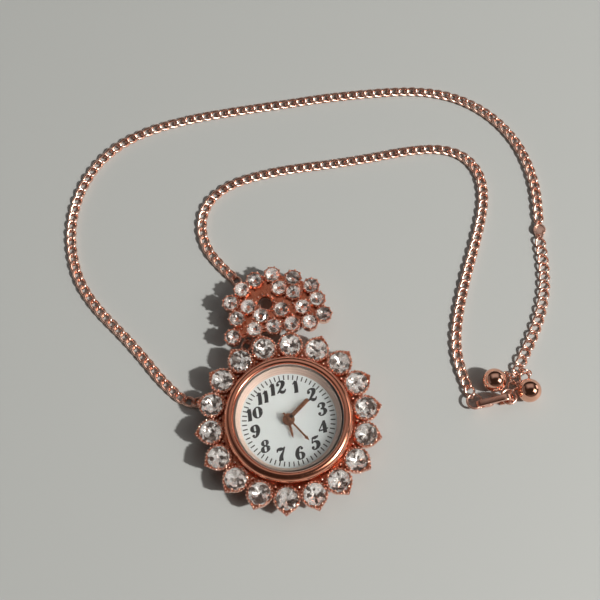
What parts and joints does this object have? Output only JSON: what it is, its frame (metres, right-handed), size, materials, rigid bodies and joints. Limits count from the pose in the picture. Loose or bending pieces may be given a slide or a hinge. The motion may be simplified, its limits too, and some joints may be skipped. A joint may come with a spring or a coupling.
{
  "type": "pendant watch",
  "caption": "Round quartz pendant watch in a collar and crest of clear stones, on a curb chain with a sprung clasp.",
  "frame": {"origin": "on the dial's axis, at the outer face of the case back", "axes": "+Z out of the dial, +Y from the dial to the crest, +X to the right of the crest"},
  "size_m": [0.1081, 0.0971, 0.0073],
  "materials": {
    "rose_gold": "polished rose gold plate",
    "steel": "satin",
    "rubber": "matte",
    "crystal": "clear",
    "rehaut": "polished rose gold plate",
    "dial_white": "satin lacquer",
    "brass": "satin",
    "copper": "lacquered wire",
    "board": "solder mask",
    "holder_plastic": "moulded",
    "stone_clear": "cut and foiled",
    "ball_mirror": "mirror polish"
  },
  "bodies": {
    "watch_case": {"case_back": "steel", "case_back_gasket": "rubber", "case_body": "rose_gold", "bezel": "rose_gold", "crystal": "crystal", "crystal_gasket": "rubber", "rehaut_ring": "rehaut", "dial": "dial_white", "main_plate": "brass", "train_bridge": "brass", "movement_screws": "steel", "movement_holder": "holder_plastic", "battery": "steel", "battery_clip": "steel", "coil": "copper", "coil_core": "steel", "stator": "steel", "circuit_board": "board", "quartz_can": "steel", "crown_tube": "steel", "collar_frame": "rose_gold", "collar_stones": "stone_clear", "crest_frame": "rose_gold", "crest_stones": "stone_clear", "bail": "rose_gold", "chain_long_run": "rose_gold", "chain_short_run": "rose_gold", "extension_chain": "rose_gold", "disc_tag": "rose_gold", "clasp_body": "rose_gold", "clasp_pin": "rose_gold", "clasp_spring": "steel", "clasp_ring": "rose_gold", "end_ring": "rose_gold", "joining_links": "rose_gold", "end_balls": "ball_mirror", "ball_rings": "rose_gold"},
    "hour_hand_set": {"hour_hand": "rose_gold", "hour_wheel": "brass"},
    "minute_hand_set": {"minute_hand": "rose_gold", "cannon_pinion": "brass", "centre_wheel": "brass"},
    "second_hand_set": {"second_hand": "rose_gold", "second_wheel": "brass"},
    "third_wheel": {"third_wheel": "brass"},
    "intermediate_wheel": {"intermediate_wheel": "brass"},
    "rotor": {"rotor": "steel"},
    "minute_wheel": {"minute_wheel": "brass"},
    "crown_slider": {"crown_gasket": "rubber"},
    "crown_and_stem": {"crown": "rose_gold", "stem": "steel", "sliding_pinion": "steel"},
    "setting_lever": {"setting_lever": "steel"},
    "clasp_lever": {"clasp_lever": "rose_gold"}
  },
  "joints": [
    {"name": "second_hand_turn", "type": "hinge", "parent": "watch_case", "child": "second_hand_set", "pos_m": [0, 0, 0], "axis": [0, 0, -1], "continuous": true},
    {"name": "minute_hand_turn", "type": "hinge", "parent": "watch_case", "child": "minute_hand_set", "pos_m": [0, 0, 0], "axis": [0, 0, -1], "continuous": true},
    {"name": "hour_hand_turn", "type": "hinge", "parent": "watch_case", "child": "hour_hand_set", "pos_m": [0, 0, 0], "axis": [0, 0, -1], "continuous": true},
    {"name": "third_wheel_turn", "type": "hinge", "parent": "watch_case", "child": "third_wheel", "pos_m": [0.00265, -0.00153, 0], "axis": [0, 0, -1], "continuous": true},
    {"name": "intermediate_wheel_turn", "type": "hinge", "parent": "watch_case", "child": "intermediate_wheel", "pos_m": [-0.00135, 0.00234, 0], "axis": [0, 0, -1], "continuous": true},
    {"name": "rotor_turn", "type": "hinge", "parent": "watch_case", "child": "rotor", "pos_m": [-0.00088, 0.00503, 0], "axis": [0, 0, -1], "continuous": true},
    {"name": "minute_wheel_turn", "type": "hinge", "parent": "watch_case", "child": "minute_wheel", "pos_m": [0.00196, 0.00165, 0], "axis": [0, 0, -1], "continuous": true},
    {"name": "crown_pull", "type": "slide", "parent": "watch_case", "child": "crown_slider", "axis": [0.9848, 0.1736, 0], "range_m": [0, 0.0008]},
    {"name": "crown_turn", "type": "hinge", "parent": "crown_slider", "child": "crown_and_stem", "pos_m": [0, 0, 0.00165], "axis": [0.9848, 0.1736, 0], "continuous": true},
    {"name": "setting_lever_turn", "type": "hinge", "parent": "watch_case", "child": "setting_lever", "pos_m": [0.00717, 0.00325, 0], "axis": [0, 0, 1], "range_deg": [0, 23]},
    {"name": "clasp_lever_turn", "type": "hinge", "parent": "watch_case", "child": "clasp_lever", "pos_m": [0.04195, -0.0022, 0.0013], "axis": [0, -1, 0], "range_deg": [0, 28], "stiffness_Nm_per_rad": 0.0004, "springref_deg": -11.46}
  ],
  "couplings": [
    {"joint": "minute_hand_turn", "follows": "second_hand_turn", "ratio": 0.016667},
    {"joint": "hour_hand_turn", "follows": "second_hand_turn", "ratio": 0.0013889},
    {"joint": "third_wheel_turn", "follows": "second_hand_turn", "ratio": -0.13333},
    {"joint": "intermediate_wheel_turn", "follows": "second_hand_turn", "ratio": -5},
    {"joint": "rotor_turn", "follows": "second_hand_turn", "ratio": 30},
    {"joint": "minute_wheel_turn", "follows": "second_hand_turn", "ratio": -0.0055556},
    {"joint": "setting_lever_turn", "follows": "crown_pull", "rad_per_m": 501.78}
  ]
}
